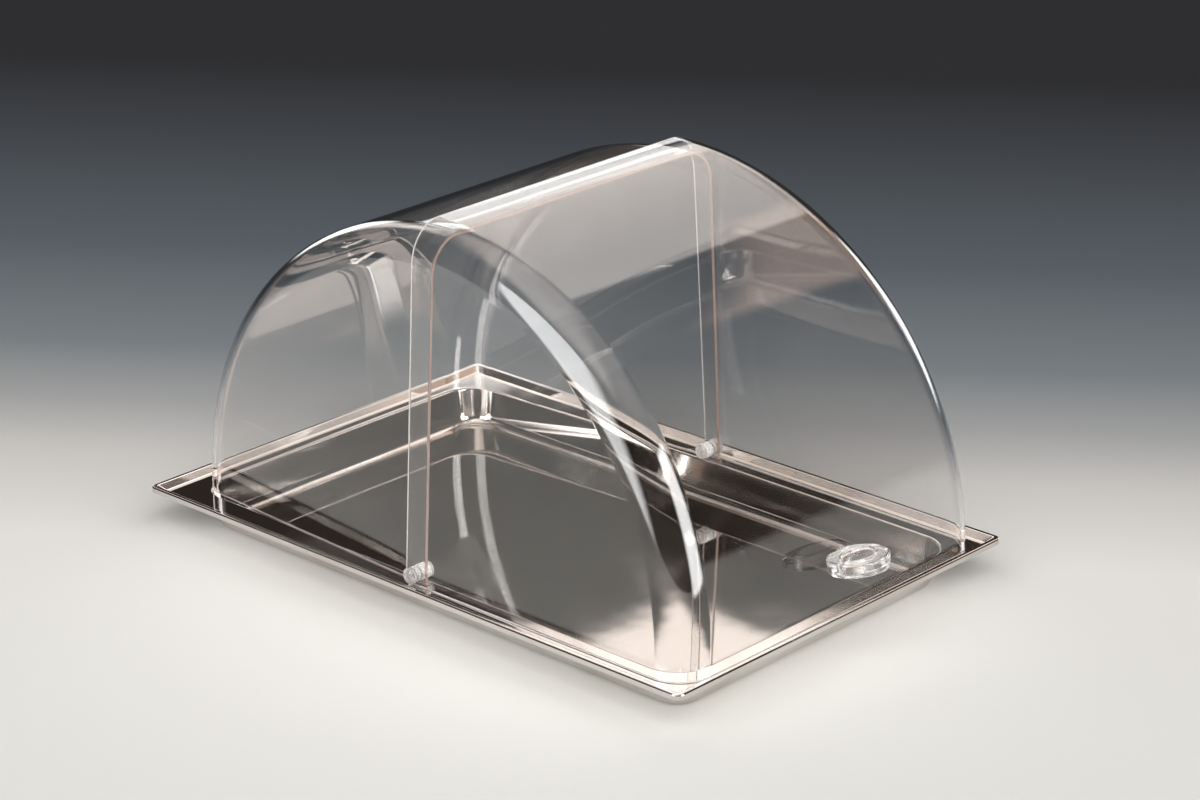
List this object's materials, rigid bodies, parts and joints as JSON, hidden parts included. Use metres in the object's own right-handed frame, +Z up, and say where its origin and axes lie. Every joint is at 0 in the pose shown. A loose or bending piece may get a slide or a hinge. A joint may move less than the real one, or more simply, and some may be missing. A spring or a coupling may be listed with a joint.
{
  "type": "countertop bread display bin",
  "caption": "Countertop display bin: a steel tray under a clear cover, whose front half rolls back over the rear half for access.",
  "frame": {"origin": "centre of the tray's flat underside, where the bin stands on a counter", "axes": "+Z up, -Y towards the handle at the front, +X to the right of someone who faces the back from the handle"},
  "size_m": [0.4, 0.6331, 0.3297],
  "materials": {
    "polished_steel": "mirror-polished stainless steel sheet",
    "clear_cover": "clear, gloss, colourless moulded plastic",
    "clear_handle": "thick clear gloss plastic",
    "clear_pivot": "slightly cloudy clear plastic",
    "milky_plastic": "milky translucent plastic"
  },
  "bodies": {
    "tray": {"tray": "polished_steel"},
    "hood": {"rear_hood": "clear_cover", "pivot_pin_left": "clear_pivot", "pivot_pin_right": "clear_pivot", "pivot_washer_left": "milky_plastic", "pivot_washer_right": "milky_plastic", "pivot_nut_left": "milky_plastic", "pivot_nut_right": "milky_plastic", "pivot_cap_left": "clear_pivot", "pivot_cap_right": "clear_pivot"},
    "lid": {"front_lid": "clear_cover", "lid_handle": "clear_handle"}
  },
  "joints": [
    {"name": "cover_lift", "type": "slide", "parent": "tray", "child": "hood", "axis": [0, 0, 1], "range_m": [0, 0.1]},
    {"name": "lid_roll", "type": "hinge", "parent": "hood", "child": "lid", "pos_m": [0, -0.0015, 0.041], "axis": [-1, 0, 0], "range_deg": [0, 88]}
  ]
}
